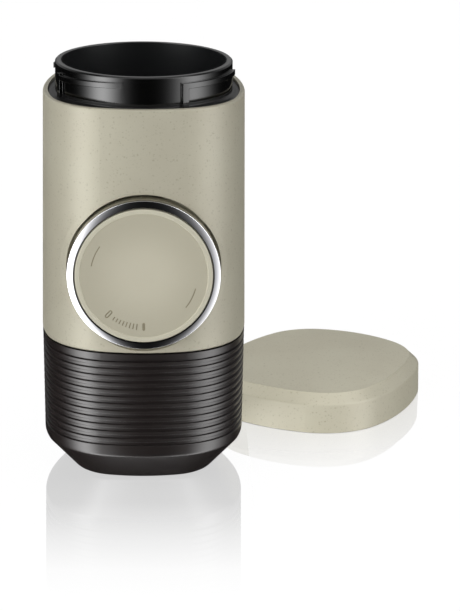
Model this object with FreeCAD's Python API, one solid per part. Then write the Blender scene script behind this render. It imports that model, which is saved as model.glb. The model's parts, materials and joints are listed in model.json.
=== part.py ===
"""Handheld manual espresso maker, in millimetres.

The body stands on the floor with its foot at z = 0 and its long axis along +Z.
The pump knob faces -Y. The water tank is at the bottom, the pump lies across the
middle, and the capsule chamber and its outlet head are in the neck at the top.
The lid lies upright on the floor beside the body.
"""
import FreeCAD, Part
import math
import os

from FreeCAD import Matrix, Vector

# ---------------------------------------------------------------- body outline
BODY_HALF = 32.0                    # half the width; the front lies this far ahead of the widest line
FRONT_RADIUS = 1.75 * BODY_HALF     # gentle bow of the front and of the sides ahead of the widest line
FRONT_CORNER = 0.725 * BODY_HALF    # corners, tangent to the bows beside them
BACK_DEPTH = 40.0                   # from the widest line to the back
BACK_SIDE_RADIUS = 80.0
BACK_RADIUS = 48.0
BACK_CORNER = 21.0

# ---------------------------------------------------------------- tank
TANK_TOP = 44.0
FOOT_INSET = 10.0         # the bevel ends this far in from the outline
FOOT_ROUND = 3.0
BEVEL_TOP = 10.6
BEVEL_INSET = 0.5
BEVEL_ROUND = 2.5
TANK_TOP_INSET = 0.1
GROOVE_COUNT = 13
GROOVE_FIRST_Z = 14.65
GROOVE_TOP_MARGIN = 2.05
GROOVE_PITCH = (TANK_TOP - GROOVE_TOP_MARGIN - GROOVE_FIRST_Z) / (GROOVE_COUNT - 1)
GROOVE_WIDTH = 0.9
GROOVE_DEPTH = 0.5
TANK_WALL = 1.4
TANK_FLOOR = 2.4
AIR_GAP = 1.0
AIR_GAP_BELOW = 0.8
LINER_WALL = 1.2
PAD_RADIUS = 14.0
PAD_THICKNESS = 1.5
PAD_STANDOUT = 0.3

# ---------------------------------------------------------------- tank mouth
MOUTH_RIM = 7.8           # from the body's flat to the mouth
MOUTH_RADIUS = BODY_HALF - MOUTH_RIM
COLLAR_WALL = 2.2
FLANGE_THICKNESS = 1.6
LEDGE_REACH = 2.7
LEDGE_RADIUS = MOUTH_RADIUS - LEDGE_REACH
LEDGE_THICKNESS = 1.2
SEAL_HEIGHT = 2.2
SEAL_DROP = 7.1           # from the tank's rim down to the ledge that carries the seal
SEAL_BASE_Z = TANK_TOP - SEAL_DROP
MOUTH_CLEARANCE = 0.2
LIP_DEPTH = 1.3           # how far the catch lips reach in from the mouth
LIP_ARC = 42.0
LIP_CENTRE = 83.0
LUG_COUNT = 3             # the same for the tank's lugs, the sleeve's hooks and the ring's lugs
ROOT = 0.8                # how far ribs and lugs run into the wall that carries them
TANK_LUG_ARC = 24.0
TANK_LUG_HEIGHT = 1.4
TANK_LUG_DROP = 2.5       # from the tank's rim down to the top of the lugs
SPIGOT_WALL = 2.2

# ---------------------------------------------------------------- beige shell
JOINT_GAP = 0.3
SHELL_TOP = 120.6
SHELL_DRAFT = 0.8         # the outline shrinks by this much from joint to lip
SHELL_WALL = 2.0
LIP_WALL = 1.5
SHELL_LOWER_ROUND = 0.9
SHELL_LIP_ROUND = 0.6
POST_RADIUS = 3.0
POST_CLEARANCE = 0.2      # between the neck and the heads of the screws on the diagonals

# ---------------------------------------------------------------- coupling plate
PLATE_CLEARANCE = 0.15
PLATE_RECESS = 0.2
PLATE_THICKNESS = 2.0
SCREW_RADIUS = 1.2
SCREW_HEAD_RADIUS = 2.1
SCREW_HEAD_HEIGHT = 1.2
SCREW_LENGTH = 8.0
KNOB_SCREW_HEAD = 6.0
KNOB_SCREW_HEAD_HEIGHT = 1.6
KNOB_SCREW_RADIUS = 1.5
KNOB_SCREW_LENGTH = 8.0
KNOB_SCREW_CLEARANCE = 0.3

# ---------------------------------------------------------------- knob and pump
KNOB_RISE = 25.7          # of the pump's axis above the shell's lower edge
KNOB_Z = TANK_TOP + JOINT_GAP + KNOB_RISE
WELL_RADIUS = 24.8        # at its mouth, level with the body's flat
WELL_TAPER = 1.05         # the mouth narrows by this much over WELL_TAPER_DEPTH
WELL_TAPER_DEPTH = 3.6
WELL_BORE = WELL_RADIUS - WELL_TAPER
WELL_WALL = 1.85
WELL_OUTER = WELL_BORE + WELL_WALL
WELL_DEPTH = 10.0
WELL_FLOOR_Y = WELL_DEPTH - BODY_HALF
WELL_FLOOR = 1.5
KNOB_GAP = 1.44           # between the well's mouth and the chrome ring
KNOB_RIM_RADIUS = WELL_RADIUS - KNOB_GAP
KNOB_STANDOUT = 2.1       # of the chrome ring's edge, in front of the body's flat
KNOB_CROWN = 0.8          # from the ring's edge to the disc's face
KNOB_RIM_Y = -BODY_HALF - KNOB_STANDOUT
KNOB_FACE_Y = KNOB_RIM_Y - KNOB_CROWN
KNOB_RING_RECESS = 0.05   # the ring's face lies this much behind the disc's
KNOB_RING_FACE_Y = KNOB_FACE_Y + KNOB_RING_RECESS
KNOB_RING_DEPTH = 1.2
KNOB_RING_WIDTH = 2.3
DISC_RADIUS = KNOB_RIM_RADIUS - KNOB_RING_WIDTH
DISC_THICKNESS = 1.3
DISC_RIM_WIDTH = 1.5
DISC_DISH = 0.3
RING_LIP_GAP = 0.14
KNOB_RING_WALL = 0.46
HUB_RADIUS = KNOB_RIM_RADIUS - KNOB_RING_WALL
HUB_STEP = 6.7            # length of the hub's wider front part
HUB_SKIRT_STEP = 0.9      # from there in to the skirt, which passes between the catches
HUB_SKIRT_RADIUS = HUB_RADIUS - HUB_SKIRT_STEP
HUB_FLOOR_GAP = 1.0       # between the hub's skirt and the floor of the well
HUB_BACK_Y = WELL_FLOOR_Y - HUB_FLOOR_GAP
HUB_SKIRT = 1.8
HUB_PLATE = 2.0
HUB_BOSS_RADIUS = 8.5
KNOB_LUG_ARC = 16.0
KNOB_LUG_REACH = 1.4
KNOB_LUG_HEIGHT = 1.2
KNOB_LUG_FRONT = 1.4
CATCH_REACH = 1.3
CATCH_THICKNESS = 1.2
CATCH_GAP = 0.4
CATCH_ARC = 38.0
CATCH_CENTRE = 56.0       # angle from +X towards +Z, clear of the lugs' sweep
BORE_RADIUS = 8.0
CYLINDER_WALL = 2.0
CYLINDER_CAP = 2.0
PUMP_FLANGE_RADIUS = 17.0
PUMP_FLANGE = 2.5
PUMP_SCREW_RADIUS = 13.0
PUMP_SCREW_ANGLE = 35.0   # above and below the level of the bore
PUMP_SCREW_LENGTH = 4.0
ROD_RADIUS = 5.0
ROD_CLEARANCE = 0.06
ROD_HOLE_CLEARANCE = 0.4  # in the floor of the shell's well
JOURNAL_RADIUS = 4.0
JOURNAL_CLEARANCE = 0.06
ROD_STANDOUT = 3.0        # of the rod's shoulder, in front of the well's floor
ROD_SHOULDER_Y = WELL_FLOOR_Y - ROD_STANDOUT
STROKE = BODY_HALF - WELL_DEPTH
STROKE_REST = 0.5         # between the piston and the rod's bush when the knob is right out
PISTON_LENGTH = 4.5
PISTON_CLEARANCE = 0.3
PISTON_SEAL_WIDTH = 1.6
PISTON_SEAL_DEPTH = 1.2
PISTON_SEAL_CLEARANCE = 0.07
BUSH_LENGTH = 4.5
SPRING_SPACE = 11.0       # the compressed spring's length
SPRING_WIRE_RADIUS = 0.6
SPRING_RADIUS = 5.6
SPRING_TURNS = 6

# ---------------------------------------------------------------- water ways
PORT_DISTANCE = 4.0       # from the piston, right in, to the ports
PORT_RADIUS = 1.5
BLOCK_RADIUS = 7.0
SEAT_RADIUS = 4.0
SEAT_HEIGHT = 4.0
SEAT_CONE_DEPTH = 1.5
BALL_CHAMBER_RADIUS = 2.4
BALL_CHAMBER_HEIGHT = 7.5
BALL_RADIUS = 1.95
BALL_GAP = 0.05
VENT_OUTER = 2.0
VENT_INNER = 1.2
VENT_X = 12.0
VENT_BOTTOM = 9.0
VENT_ABOVE = 2.0          # the tube's end stands above the coupling plate
STRAINER_RADIUS = 4.5
STRAINER_THICKNESS = 0.5
STRAINER_HOLE = 0.4
STRAINER_PITCH = 1.5
STRAINER_ROWS = 3
PORT_BOSS_RADIUS = 5.0
PORT_SEAL_HEIGHT = 0.8
PORT_SEAL_WALL = 1.2

# ---------------------------------------------------------------- neck
NECK_TOP = 129.6
NECK_SET_BACK = 4.6       # from the body's flat to the neck
NECK_RADIUS = BODY_HALF - NECK_SET_BACK
NECK_WALL = 1.9
NECK_BORE = NECK_RADIUS - NECK_WALL
NECK_CHAMFER = 0.45
CHAMBER_RISE = 10.5       # from the pump's axis up to the chamber
CHAMBER_BASE = KNOB_Z + CHAMBER_RISE
CHAMBER_FLOOR_WALL = 1.0
CHAMBER_CLEARANCE = 0.3   # the narrow part passes behind the knob's well
CHAMBER_RADIUS = -WELL_FLOOR_Y - WELL_FLOOR - CHAMBER_CLEARANCE
CHAMBER_WALL = 1.5
CHAMBER_HEIGHT = 17.0
NECK_STEP_Z = CHAMBER_BASE + CHAMBER_HEIGHT   # above this the chamber is as wide as the neck
NECK_STEP = 1.5
GUTTER_TOP = 119.8
GUTTER_RISE = 0.5
GUTTER_THICKNESS = 1.4
GUTTER_SKIRT = 3.0
EAR_RADIUS = 3.2
EAR_THICKNESS = 2.0
RIB_STANDOUT = 1.0
RIB_BAR_WIDTH = 2.0
RIB_ARM_HEIGHT = 1.6
RIB_ARM_DROP = 2.2        # from the neck's rim down to the top of the arms
RIB_BARS = (-157.0, -63.5)                             # upright bars, angle about +Z
RIB_ARMS = ((-130.2, 54.0, 2.3), (-37.0, 56.0, 0.0))   # level arms: angle, length and slope

# ---------------------------------------------------------------- capsule chamber
NEEDLE_PLATE_CLEARANCE = 0.7
NEEDLE_PLATE_RADIUS = CHAMBER_RADIUS - CHAMBER_WALL - NEEDLE_PLATE_CLEARANCE
NEEDLE_PLATE_THICKNESS = 0.8
NEEDLE_CIRCLE = 4.5
NEEDLE_COUNT = 3
NEEDLE_RADIUS = 0.9
NEEDLE_TIP_RADIUS = 0.15
NEEDLE_HOLE = 0.4
NEEDLE_HOLE_CIRCLE = 6.5
NEEDLE_HEIGHT = 3.4
SLEEVE_NECK_GAP = 0.1
SLEEVE_OUTER = NECK_BORE - SLEEVE_NECK_GAP
SLEEVE_BAND_WALL = 4.4
SLEEVE_BORE = SLEEVE_OUTER - SLEEVE_BAND_WALL
SLEEVE_WALL = 2.0
SLEEVE_RISE = 11.7
SLEEVE_TOP = NECK_STEP_Z + SLEEVE_RISE
SLEEVE_BAND = 3.0
HOOK_WALL = 1.2
HOOK_REACH = 0.9
HOOK_HEIGHT = 2.9
HOOK_LIP = 0.8
HOOK_ARC = 50.0
HOOK_CENTRE = 77.0
HOLDER_CLEARANCE = 0.5
HOLDER_RADIUS = SLEEVE_BORE - HOLDER_CLEARANCE
HOLDER_FOOT_RADIUS = CHAMBER_RADIUS - CHAMBER_WALL - HOLDER_CLEARANCE
HOLDER_RISE = 2.1
HOLDER_BOTTOM = CHAMBER_BASE + HOLDER_RISE
HOLDER_STANDOUT = 1.6
HOLDER_TOP = SLEEVE_TOP + HOLDER_STANDOUT
HOLDER_BAND_TOP = 5.0
HOLDER_BAND_BOTTOM = 3.0
HOLDER_WAIST_STEP = 0.8
HOLDER_WAIST = HOLDER_FOOT_RADIUS - HOLDER_WAIST_STEP
HOLDER_RIM_WALL = 1.8
CAPSULE_FLANGE_RADIUS = HOLDER_RADIUS - HOLDER_RIM_WALL   # a standard capsule's flange and play
CAPSULE_FLANGE_DEPTH = 0.9
CAPSULE_FLANGE_WIDTH = 3.4
CAPSULE_MOUTH_RADIUS = CAPSULE_FLANGE_RADIUS - CAPSULE_FLANGE_WIDTH
CAPSULE_TAPER = 3.3
CAPSULE_TIP_RADIUS = CAPSULE_MOUTH_RADIUS - CAPSULE_TAPER
TIP_LEDGE = 0.5
TIP_SEAL_WALL = 2.0
TIP_SEAL_HEIGHT = 2.0

# ---------------------------------------------------------------- outlet head
GASKET_SET = 0.6
GASKET_INNER = CAPSULE_MOUTH_RADIUS + GASKET_SET
GASKET_LAP = 0.5
GASKET_OUTER = CAPSULE_FLANGE_RADIUS + GASKET_LAP
GASKET_HEIGHT = 1.0
PIERCE_LAP = 0.3
PIERCE_RADIUS = CAPSULE_MOUTH_RADIUS + PIERCE_LAP
PIERCE_THICKNESS = 0.6
PIERCE_HOLE = 0.5
PIERCE_PITCH = 3.5
PIERCE_ROWS = 4
CORE_CLEARANCE = 0.4
CORE_RADIUS = SLEEVE_BORE - CORE_CLEARANCE
CORE_THICKNESS = 1.2
CORE_STEP = 1.3
CORE_BOSS_RADIUS = CORE_RADIUS - CORE_STEP
CORE_BOSS_HEIGHT = 0.8
SPOUT_RADIUS = 3.6
SPOUT_BORE = 2.4
SPOUT_HEIGHT = 6.0
RING_CLEARANCE = 0.3
RING_SKIRT_WALL = 2.1
RING_SKIRT_DROP = 2.4
RING_TOP = 1.4
RING_OVERLAP = 1.1
RING_GRIP_CLEARANCE = 0.5
RING_GRIP_RADIUS = NECK_BORE - RING_GRIP_CLEARANCE
RING_NOTCH_COUNT = 12
RING_NOTCH_RADIUS = 1.3
RING_NOTCH_OFFSET = 0.5
RING_NOTCH_CIRCLE = RING_GRIP_RADIUS + RING_NOTCH_OFFSET
RING_LUG_REACH = 0.8
RING_LUG_HEIGHT = 1.1
RING_LUG_ARC = 18.0
RING_LUG_ANGLE = 12.0
RIB_PLATE_COUNT = 4
RIB_PLATE_THICKNESS = 1.2
RIB_PLATE_LENGTH = 15.0
RIB_PLATE_HEIGHT = 2.6

# ---------------------------------------------------------------- lid
LID_X = 57.1
LID_Y = 53.2
LID_TURN = -30.2           # degrees about +Z
LID_GROWTH = 1.0           # the lid's foot stands out from the body's outline
LID_SIDE_HEIGHT = 9.95
LID_SIDE_DRAFT = 0.2
LID_BEVEL_INSET = 3.25
LID_BEVEL_HEIGHT = 3.05
LID_CROWN = 1.3
LID_CROWN_REACH = 1.09     # the crown meets the bevel's top here, in half-widths
LID_WALL = 1.8
LID_CEILING_RISE = 0.4      # the ceiling lies above the side's top edge
LID_CEILING = LID_SIDE_HEIGHT + LID_CEILING_RISE
LID_EDGE_ROUND = 1.2
LID_FOOT_ROUND = 0.4
LID_LINER_CLEARANCE = 1.4
LID_LINER_RADIUS = NECK_RADIUS + LID_LINER_CLEARANCE
LID_LINER_WALL = 1.2
LID_LINER_BASE = 0.5
LID_WEB = 0.8
LID_LINER_TOP = LID_CEILING - LID_WEB
LID_LUG_REACH = 1.1
LID_LUG_COUNT = 4
LID_LUG_ANGLE = 10.0
LID_LUG_ARC = 14.0
LID_LUG_HEIGHT = 1.6
LID_LUG_Z = 2.4
LID_SEAL_INSIDE = 2.2
LID_SEAL_INNER = NECK_RADIUS - LID_SEAL_INSIDE
LID_SEAL_OUTSIDE = 0.6
LID_SEAL_OUTER = NECK_RADIUS + LID_SEAL_OUTSIDE
LID_SEAL_HEIGHT = 1.2

UP = Vector(0, 0, 1)
BACK = Vector(0, 1, 0)
ORIGIN = Vector(0, 0, 0)
FAR = 200.0
TINY = 0.01

SHELL_BOTTOM = TANK_TOP + JOINT_GAP
PLATE_BOTTOM = SHELL_BOTTOM + PLATE_RECESS
PLATE_TOP = PLATE_BOTTOM + PLATE_THICKNESS
WELL_BACK_Y = WELL_FLOOR_Y + WELL_FLOOR
PISTON_FRONT_Y = WELL_BACK_Y + BUSH_LENGTH + STROKE_REST + STROKE
PISTON_BACK_Y = PISTON_FRONT_Y + PISTON_LENGTH
CYLINDER_END_Y = PISTON_BACK_Y + SPRING_SPACE + CYLINDER_CAP
PORT_Y = PISTON_BACK_Y + PORT_DISTANCE
POST_OFFSET = (NECK_RADIUS + POST_CLEARANCE + SCREW_HEAD_RADIUS) / math.sqrt(2)


# ================================================================ plain shapes
def disc(radius, low, high, x=0.0, y=0.0):
    """An upright cylinder between two heights."""
    return Part.makeCylinder(radius, high - low, Vector(x, y, low))


def ring(outer, inner, low, high, x=0.0, y=0.0):
    """An upright tube."""
    return disc(outer, low, high, x, y).cut(disc(inner, low, high, x, y))


def bar(radius, front, back, x=0.0, z=KNOB_Z):
    """A cylinder along the pump's axis, from y = front to y = back."""
    return Part.makeCylinder(radius, back - front, Vector(x, front, z), BACK)


def pipe(outer, inner, front, back):
    """A tube along the pump's axis."""
    return bar(outer, front, back).cut(bar(inner, front, back))


def block(outer, inner, low, high, centre, arc):
    """A piece of an upright ring, `arc` degrees long about the angle `centre`."""
    corners = [(inner, low), (outer, low), (outer, high), (inner, high), (inner, low)]
    face = Part.Face(Part.makePolygon([Vector(r, 0, z) for r, z in corners]))
    face.rotate(ORIGIN, UP, centre - arc / 2)
    return face.revolve(ORIGIN, UP, arc)


def knob_block(outer, inner, front, back, centre, arc):
    """The same about the pump's axis; angles run from +X towards +Z."""
    piece = block(outer, inner, -back, -front, centre, arc)
    piece.rotate(ORIGIN, Vector(1, 0, 0), 90)
    piece.translate(Vector(0, 0, KNOB_Z))
    return piece


def turned(profile):
    """A solid of revolution about Z from (radius, height) corners."""
    points = [Vector(r, 0, z) for r, z in profile]
    face = Part.Face(Part.makePolygon(points + points[:1]))
    return face.revolve(ORIGIN, UP, 360)


def turned_y(profile):
    """A solid of revolution about the pump's axis from (radius, y) corners."""
    points = [Vector(r, y, KNOB_Z) for r, y in profile]
    face = Part.Face(Part.makePolygon(points + points[:1]))
    return face.revolve(Vector(0, 0, KNOB_Z), BACK, 360)


def around(shape, count, axis=UP, centre=ORIGIN):
    """Copies of a shape, evenly spaced about an axis."""
    copies = []
    for k in range(count):
        copy = shape.copy()
        copy.rotate(centre, axis, 360.0 * k / count)
        copies.append(copy)
    return copies


def hole_places(pitch, rows):
    """A hole in the middle, and rows of 6, 12, 18 and so on around it."""
    places = [(0.0, 0.0)]
    for row in range(1, rows):
        for k in range(6 * row):
            a = math.pi * k / (3 * row)
            places.append((pitch * row * math.cos(a), pitch * row * math.sin(a)))
    return places


def joined(first, *others):
    """One solid from several that touch."""
    return first.fuse(list(others)).removeSplitter()


# ================================================================ body outline
def half_outline(depth, side, end, corner):
    """Five tangent arcs over one half of the outline: centre, radius, first and last angle."""
    side_x, end_y = BODY_HALF - side, depth - end
    span = math.hypot(side_x, end_y)
    along = ((side - corner) ** 2 - (end - corner) ** 2 + span ** 2) / (2 * span)
    off = math.sqrt((side - corner) ** 2 - along ** 2)
    x = side_x + (off * -end_y - along * side_x) / span
    y = (along * end_y - off * side_x) / span
    first = math.degrees(math.atan2(y, x - side_x))
    last = math.degrees(math.atan2(y - end_y, x))
    return [
        (side_x, 0, side, 0, first),
        (x, y, corner, first, last),
        (0, end_y, end, last, 180 - last),
        (-x, y, corner, 180 - last, 180 - first),
        (-side_x, 0, side, 180 - first, 180),
    ]


def outline(inset, z):
    """The body's outline moved in by `inset`; its widest line runs through the neck's axis."""
    back = half_outline(BACK_DEPTH, BACK_SIDE_RADIUS, BACK_RADIUS, BACK_CORNER)
    front = half_outline(BODY_HALF, FRONT_RADIUS, FRONT_RADIUS, FRONT_CORNER)
    edges = []
    for turn, arcs in ((0, back), (180, front)):
        for x, y, radius, first, last in arcs:
            angles = [math.radians(a) for a in (first, (first + last) / 2, last)]
            reach = radius - inset
            points = [Vector(x + reach * math.cos(a), y + reach * math.sin(a), z) for a in angles]
            edge = Part.Arc(*points).toShape()
            edge.rotate(ORIGIN, UP, turn)
            edges.append(edge)
    return Part.Wire(edges)


def prism(inset, low, high):
    """The outline, pulled straight up."""
    return Part.Face(outline(inset, low)).extrude(Vector(0, 0, high - low))


def stack(profile):
    """A solid through outlines given as (inset, height), from the bottom up."""
    return Part.makeLoft([outline(i, z) for i, z in profile], True, True)


def level_edges(shape, z):
    """The edges of a shape that lie at one height."""
    boxes = [(edge, edge.BoundBox) for edge in shape.Edges]
    return [edge for edge, box in boxes if abs(box.ZMin - z) < TINY and abs(box.ZMax - z) < TINY]


def inward(profile, wall, floor):
    """A foot, bevel and side profile moved in by `wall` and up by `floor`."""
    (x1, z1), (x2, z2), (x3, z3) = profile
    slope = (z2 - z1) / (x2 - x1)
    lift = wall * math.sqrt(1 + slope ** 2)
    draft = (x3 - x2) / (z3 - z2)
    low = z1 + floor
    bevel_z = (z1 + slope * (x2 + wall - draft * z2 - x1) + lift) / (1 - slope * draft)
    bevel_x = x2 + wall + draft * (bevel_z - z2)
    return [(x1 + (low - z1 - lift) / slope, low), (bevel_x, bevel_z), (x3 + wall, z3)]


# ================================================================ tank
TANK_PROFILE = [(FOOT_INSET, PAD_STANDOUT), (BEVEL_INSET, BEVEL_TOP), (TANK_TOP_INSET, TANK_TOP)]
COLLAR_BASE = TANK_TOP - FLANGE_THICKNESS


def cut_off(profile, top):
    """The same profile, ended at a lower height."""
    (x2, z2), (x3, z3) = profile[1:]
    return profile[:2] + [(x2 + (x3 - x2) * (top - z2) / (z3 - z2), top)]


def tank_shell():
    shell = stack(cut_off(TANK_PROFILE, COLLAR_BASE))
    shell = shell.makeFillet(BEVEL_ROUND, level_edges(shell, BEVEL_TOP))
    shell = shell.makeFillet(FOOT_ROUND, level_edges(shell, PAD_STANDOUT))
    shell = shell.cut(stack(cut_off(inward(TANK_PROFILE, TANK_WALL, TANK_FLOOR), COLLAR_BASE)))
    shell = shell.cut(disc(PAD_RADIUS, 0, PAD_THICKNESS))
    draft = (BEVEL_INSET - TANK_TOP_INSET) / (TANK_TOP - BEVEL_TOP)
    cutters = []
    for k in range(GROOVE_COUNT):
        z = GROOVE_FIRST_Z + k * GROOVE_PITCH
        inset = BEVEL_INSET - draft * (z - BEVEL_TOP) + GROOVE_DEPTH
        low = z - GROOVE_WIDTH / 2
        high = z + GROOVE_WIDTH / 2
        cutters.append(prism(-GROOVE_DEPTH, low, high).cut(prism(inset, low, high)))
    return shell.cut(cutters)


def tank_liner():
    outer = inward(TANK_PROFILE, TANK_WALL + AIR_GAP, TANK_FLOOR + AIR_GAP_BELOW)
    wall = TANK_WALL + AIR_GAP + LINER_WALL
    inner = inward(TANK_PROFILE, wall, TANK_FLOOR + AIR_GAP_BELOW + LINER_WALL)
    return stack(cut_off(outer, COLLAR_BASE)).cut(stack(cut_off(inner, COLLAR_BASE)))


def tank_collar():
    ledge = SEAL_BASE_Z - LEDGE_THICKNESS
    body = joined(
        prism(TANK_TOP_INSET, COLLAR_BASE, TANK_TOP),
        disc(MOUTH_RADIUS + COLLAR_WALL, ledge, COLLAR_BASE),
    )
    body = body.cut(disc(MOUTH_RADIUS, SEAL_BASE_Z, TANK_TOP))
    body = body.cut(disc(LEDGE_RADIUS, ledge, SEAL_BASE_Z))
    lip = block(MOUTH_RADIUS + ROOT, MOUTH_RADIUS - LIP_DEPTH, COLLAR_BASE, TANK_TOP, LIP_CENTRE, LIP_ARC)
    return joined(body, *around(lip, LUG_COUNT))


def tank_seal():
    outer = MOUTH_RADIUS - MOUTH_CLEARANCE
    return ring(outer, LEDGE_RADIUS + MOUTH_CLEARANCE, SEAL_BASE_Z, SEAL_BASE_Z + SEAL_HEIGHT)


def foot_pad():
    return disc(PAD_RADIUS, 0, PAD_THICKNESS)


# ================================================================ coupling to the tank
def post_places():
    return [(sx * POST_OFFSET, sy * POST_OFFSET) for sx in (-1, 1) for sy in (-1, 1)]


def screw(head_z, x, y, down):
    """A pan-head screw whose head stands on `head_z` and whose shaft runs down or up."""
    sign = -1 if down else 1
    head = sorted((head_z, head_z - sign * SCREW_HEAD_HEIGHT))
    shaft = sorted((head_z, head_z + sign * SCREW_LENGTH))
    return joined(disc(SCREW_HEAD_RADIUS, *head, x, y), disc(SCREW_RADIUS, *shaft, x, y))


def coupling_plate():
    spigot = MOUTH_RADIUS - LIP_DEPTH - MOUTH_CLEARANCE
    bottom = SEAL_BASE_Z + SEAL_HEIGHT
    lug_reach = MOUTH_RADIUS - MOUTH_CLEARANCE
    lug_top = TANK_TOP - TANK_LUG_DROP
    tube = ring(spigot, spigot - SPIGOT_WALL, bottom, PLATE_BOTTOM)
    lug = block(lug_reach, spigot - ROOT, lug_top - TANK_LUG_HEIGHT, lug_top, 0, TANK_LUG_ARC)
    plate = prism(SHELL_WALL + PLATE_CLEARANCE, PLATE_BOTTOM, PLATE_TOP)
    body = joined(plate, tube, *around(lug, LUG_COUNT))
    cutters = [
        disc(PORT_RADIUS, PLATE_BOTTOM, PLATE_TOP, 0, PORT_Y),
        disc(STRAINER_RADIUS, PLATE_BOTTOM, PLATE_BOTTOM + STRAINER_THICKNESS, 0, PORT_Y),
        disc(VENT_OUTER, PLATE_BOTTOM, PLATE_TOP, VENT_X, 0),
    ]
    cutters.append(bar(WELL_OUTER + PLATE_CLEARANCE, -FAR, WELL_BACK_Y + PLATE_CLEARANCE))
    for x, y in post_places():
        cutters.append(disc(SCREW_RADIUS, PLATE_BOTTOM, PLATE_TOP, x, y))
        cutters.append(disc(SCREW_HEAD_RADIUS, PLATE_BOTTOM, PLATE_BOTTOM + SCREW_HEAD_HEIGHT, x, y))
    return body.cut(cutters)


def coupling_screws():
    return Part.makeCompound([screw(PLATE_BOTTOM + SCREW_HEAD_HEIGHT, x, y, False) for x, y in post_places()])


def vent_tube():
    return ring(VENT_OUTER, VENT_INNER, VENT_BOTTOM, PLATE_TOP + VENT_ABOVE, VENT_X, 0)


def inlet_strainer():
    top = PLATE_BOTTOM + STRAINER_THICKNESS
    sheet = disc(STRAINER_RADIUS, PLATE_BOTTOM, top, 0, PORT_Y)
    places = hole_places(STRAINER_PITCH, STRAINER_ROWS)
    return sheet.cut([disc(STRAINER_HOLE, PLATE_BOTTOM, top, x, PORT_Y + y) for x, y in places])


# ================================================================ inlet valve
SEAT_TOP = PLATE_TOP + SEAT_HEIGHT
CONE_SLOPE = (BALL_CHAMBER_RADIUS - PORT_RADIUS) / SEAT_CONE_DEPTH
CONE_BASE = SEAT_TOP - SEAT_CONE_DEPTH
BALL_Z = CONE_BASE + ((BALL_RADIUS + BALL_GAP) * math.hypot(1, CONE_SLOPE) - PORT_RADIUS) / CONE_SLOPE


def inlet_block():
    body = disc(BLOCK_RADIUS, PLATE_TOP, KNOB_Z, 0, PORT_Y)
    return body.cut([
        bar(BORE_RADIUS + CYLINDER_WALL, 0, 2 * PORT_Y),
        disc(SEAT_RADIUS, PLATE_TOP, SEAT_TOP, 0, PORT_Y),
        disc(BALL_CHAMBER_RADIUS, PLATE_TOP, PLATE_TOP + BALL_CHAMBER_HEIGHT, 0, PORT_Y),
        disc(PORT_RADIUS, PLATE_TOP, KNOB_Z, 0, PORT_Y),
    ])


def inlet_seat():
    body = disc(SEAT_RADIUS, PLATE_TOP, SEAT_TOP, 0, PORT_Y)
    cone = Part.makeCone(PORT_RADIUS, BALL_CHAMBER_RADIUS, SEAT_CONE_DEPTH, Vector(0, PORT_Y, CONE_BASE))
    return body.cut([disc(PORT_RADIUS, PLATE_TOP, SEAT_TOP, 0, PORT_Y), cone])


def inlet_ball():
    return Part.makeSphere(BALL_RADIUS, Vector(0, PORT_Y, BALL_Z))


# ================================================================ beige shell
KNOB_LUG_Y = HUB_BACK_Y - KNOB_LUG_FRONT


def pump_screw_places():
    x = PUMP_SCREW_RADIUS * math.cos(math.radians(PUMP_SCREW_ANGLE))
    z = PUMP_SCREW_RADIUS * math.sin(math.radians(PUMP_SCREW_ANGLE))
    return [(sx * x, KNOB_Z + sz * z) for sx in (-1, 1) for sz in (-1, 1)]


def well_mouth():
    """The taper at the well's mouth, carried a taper's depth past the body."""
    deep, ahead = WELL_TAPER_DEPTH - BODY_HALF, -BODY_HALF - WELL_TAPER_DEPTH
    return turned_y([(0, deep), (WELL_BORE, deep), (WELL_RADIUS + WELL_TAPER, ahead), (0, ahead)])


def body_shell():
    outer = stack([(0, SHELL_BOTTOM), (SHELL_DRAFT, SHELL_TOP)])
    outer = outer.makeFillet(SHELL_LOWER_ROUND, level_edges(outer, SHELL_BOTTOM))
    outer = outer.makeFillet(SHELL_LIP_ROUND, level_edges(outer, SHELL_TOP))
    inner = stack([(SHELL_WALL, SHELL_BOTTOM), (SHELL_DRAFT + LIP_WALL, SHELL_TOP)])
    well = outer.common(bar(WELL_OUTER, -FAR, WELL_BACK_Y))
    posts = [disc(POST_RADIUS, PLATE_TOP, NECK_STEP_Z, x, y).common(outer) for x, y in post_places()]
    shell = joined(outer.cut(inner), well, *posts)
    screws = [disc(SCREW_RADIUS, PLATE_TOP, PLATE_TOP + SCREW_LENGTH, x, y) for x, y in post_places()]
    screws += [disc(SCREW_RADIUS, NECK_STEP_Z - SCREW_LENGTH, NECK_STEP_Z, x, y) for x, y in post_places()]
    screws += [bar(SCREW_RADIUS, WELL_FLOOR_Y, WELL_BACK_Y, x, z) for x, z in pump_screw_places()]
    rod_hole = bar(ROD_RADIUS + ROD_HOLE_CLEARANCE, -FAR, 0)
    shell = shell.cut([bar(WELL_BORE, -FAR, WELL_FLOOR_Y), well_mouth(), rod_hole] + screws)
    back = KNOB_LUG_Y - CATCH_GAP
    reach = WELL_BORE - CATCH_REACH
    catch = knob_block(WELL_BORE + ROOT, reach, back - CATCH_THICKNESS, back, CATCH_CENTRE, CATCH_ARC)
    return joined(shell, *around(catch, 2, BACK, Vector(0, 0, KNOB_Z)))


# ================================================================ pump
PORT_SEAL_BASE = CHAMBER_BASE - PORT_SEAL_HEIGHT


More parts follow.
